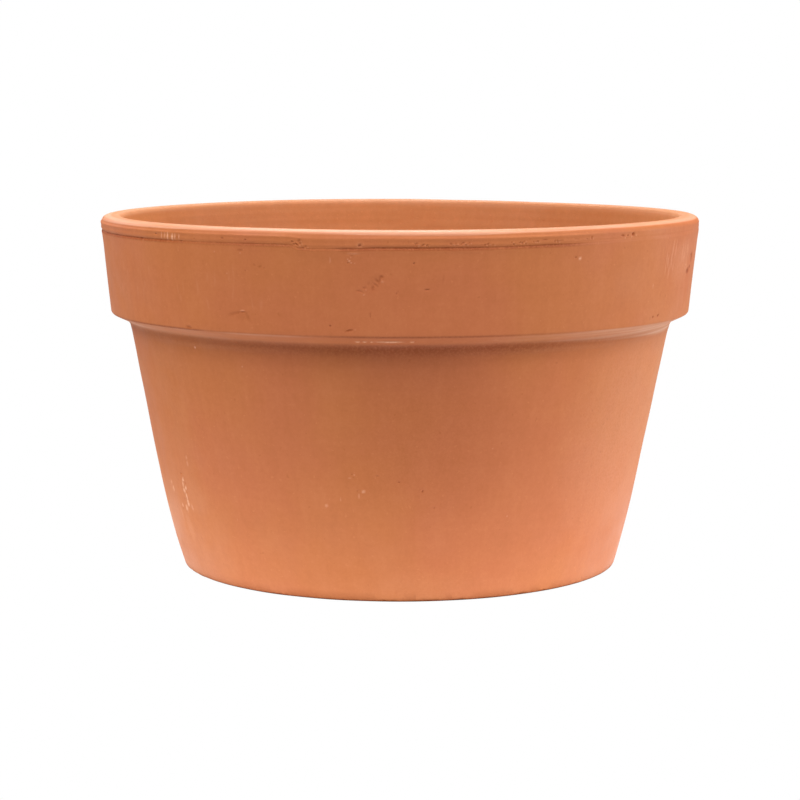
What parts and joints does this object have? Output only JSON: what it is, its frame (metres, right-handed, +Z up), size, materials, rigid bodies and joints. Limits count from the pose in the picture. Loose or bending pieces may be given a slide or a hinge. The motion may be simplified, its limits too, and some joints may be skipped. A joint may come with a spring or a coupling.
{
  "type": "terracotta pot",
  "caption": "Wide, low terracotta planting pot with a tall collar, a rounded lip, a tapering body and a round drain hole in its flat base.",
  "frame": {"origin": "centre of the pot's flat underside, on the ground", "axes": "+Z up along the axis of revolution, from the base to the lip; the pot is the same all round, and -Y is taken as its front"},
  "size_m": [0.25, 0.25, 0.1474],
  "materials": {
    "terracotta": "unglazed fired clay, matt and dry, with fine grain, small pits and faint pale mineral streaks"
  },
  "bodies": {
    "root": {"pot": "terracotta"}
  },
  "joints": []
}
